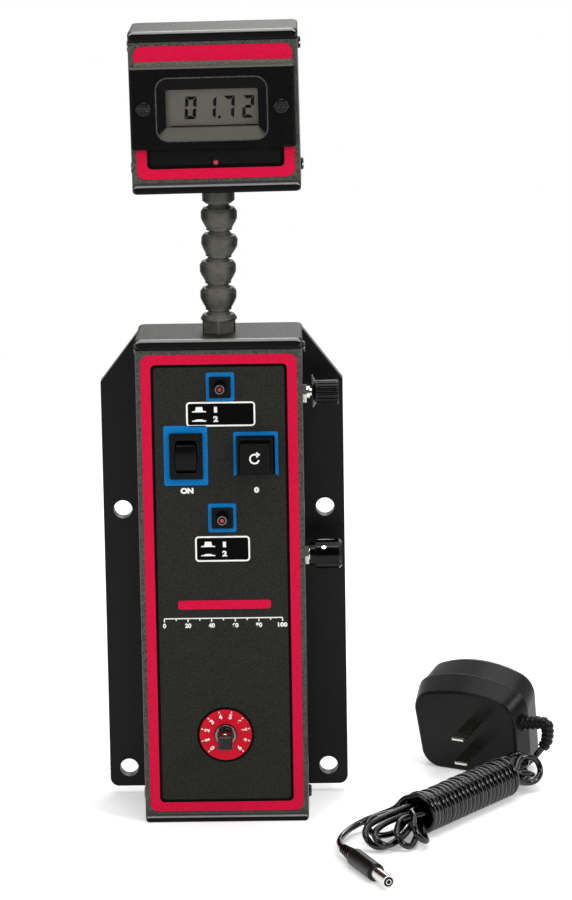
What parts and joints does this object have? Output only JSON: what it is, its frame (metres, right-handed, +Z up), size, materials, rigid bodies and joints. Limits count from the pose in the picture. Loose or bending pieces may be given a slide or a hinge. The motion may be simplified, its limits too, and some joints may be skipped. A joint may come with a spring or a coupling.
{
  "type": "digital torque tester",
  "caption": "Bench or wall torque tester: tall box with a square drive and controls, and a digital display head on a jointed neck, with mains adaptor.",
  "frame": {"origin": "centre of the base unit's foot face, which stands on the floor", "axes": "+Z up along the tester, +Y out of the back through the mounting plate, +X to the right as seen from the front, where the knobs are"},
  "size_m": [0.2061, 0.1948, 0.3599],
  "materials": {
    "black_aluminium": "textured black paint",
    "black_trim": "gloss",
    "black_screw": "black oxide",
    "printed_panel": "printed polyester",
    "black_steel_plate": "black paint",
    "steel": "machined",
    "black_plastic": "satin",
    "button_metal": "polished",
    "neck_plastic": "gloss",
    "circuit_board": "solder mask",
    "red_lens": "gloss",
    "clear_window": "clear",
    "display_glass": "grey",
    "adaptor_plastic": "satin",
    "plated_metal": "nickel plated",
    "cord_black": "satin"
  },
  "bodies": {
    "base": {"base_shell": "black_aluminium", "base_top_cap": "black_aluminium", "base_foot_cap": "black_aluminium", "base_trims": "black_trim", "base_cap_screws": "black_screw", "plate_screws": "black_screw", "base_overlay": "printed_panel", "drive_disc": "printed_panel", "mounting_plate": "black_steel_plate", "torque_transducer": "steel", "drive_square": "steel", "detent_ball": "steel", "transducer_screws": "steel", "plate_nuts": "steel", "panel_nuts": "steel", "rocker_bezel": "black_plastic", "reset_bezel": "black_plastic", "button_bezels": "black_plastic", "dc_jack": "black_plastic", "pots": "black_plastic", "neck_base_connector": "neck_plastic", "neck_base_nut": "neck_plastic", "main_board": "circuit_board", "board_posts": "circuit_board", "adaptor_front": "adaptor_plastic", "adaptor_back": "adaptor_plastic", "adaptor_blades": "plated_metal", "dc_plug_barrel": "plated_metal", "adaptor_strain_relief": "cord_black", "cord_lead": "cord_black", "cord_hank": "cord_black", "cord_tail": "cord_black", "dc_plug": "cord_black"},
    "power_rocker": {"power_rocker": "black_plastic"},
    "reset_key": {"reset_key": "black_plastic"},
    "upper_button": {"upper_button": "button_metal"},
    "lower_button": {"lower_button": "button_metal"},
    "upper_knob": {"upper_knob": "black_plastic", "upper_pot_shaft": "steel"},
    "lower_knob": {"lower_knob": "black_plastic", "lower_pot_shaft": "steel", "knob_set_screw": "black_screw"},
    "neck_1": {"neck_segment_1": "neck_plastic"},
    "neck_2": {"neck_segment_2": "neck_plastic"},
    "neck_3": {"neck_segment_3": "neck_plastic"},
    "neck_4": {"neck_segment_4": "neck_plastic"},
    "head": {"head_collar": "neck_plastic", "head_collar_nut": "neck_plastic", "head_shell": "black_aluminium", "head_top_cap": "black_aluminium", "head_foot_cap": "black_aluminium", "head_trims": "black_trim", "head_cap_screws": "black_screw", "head_overlay": "printed_panel", "indicator_lamp": "red_lens", "meter_bezel": "black_plastic", "meter_window": "clear_window", "lcd_glass": "display_glass", "meter_board": "circuit_board", "meter_screws": "black_screw"}
  },
  "joints": [
    {"name": "power_rocker_tilt", "type": "hinge", "parent": "base", "child": "power_rocker", "pos_m": [-0.0152, -0.0162, 0.1698], "axis": [-1, 0, 0], "range_deg": [0, 18]},
    {"name": "reset_key_press", "type": "slide", "parent": "base", "child": "reset_key", "axis": [0, 1, 0], "range_m": [0, 0.0025], "stiffness_N_per_m": 300, "springref_m": -0.002},
    {"name": "upper_button_press", "type": "slide", "parent": "base", "child": "upper_button", "axis": [0, 1, 0], "range_m": [0, 0.003]},
    {"name": "lower_button_press", "type": "slide", "parent": "base", "child": "lower_button", "axis": [0, 1, 0], "range_m": [0, 0.003]},
    {"name": "upper_knob_turn", "type": "hinge", "parent": "base", "child": "upper_knob", "pos_m": [0.037, 0, 0.1939], "axis": [1, 0, 0], "range_deg": [-150, 150]},
    {"name": "lower_knob_turn", "type": "hinge", "parent": "base", "child": "lower_knob", "pos_m": [0.037, 0, 0.1193], "axis": [1, 0, 0], "range_deg": [-135, 135]},
    {"name": "neck_tilt_1", "type": "hinge", "parent": "base", "child": "neck_1", "pos_m": [0, 0, 0.2273], "axis": [1, 0, 0], "range_deg": [-14, 14]},
    {"name": "neck_tilt_2", "type": "hinge", "parent": "neck_1", "child": "neck_2", "pos_m": [0, 0, 0.2393], "axis": [0, 1, 0], "range_deg": [-14, 14]},
    {"name": "neck_tilt_3", "type": "hinge", "parent": "neck_2", "child": "neck_3", "pos_m": [0, 0, 0.2513], "axis": [1, 0, 0], "range_deg": [-14, 14]},
    {"name": "neck_tilt_4", "type": "hinge", "parent": "neck_3", "child": "neck_4", "pos_m": [0.0009, 0, 0.26327], "axis": [0, 1, 0], "range_deg": [-9.7, 18.3]},
    {"name": "head_swivel", "type": "hinge", "parent": "neck_4", "child": "head", "pos_m": [0.0009, 0, 0.27527], "axis": [-0.0112, 0, 0.9999], "range_deg": [-170, 170]}
  ]
}
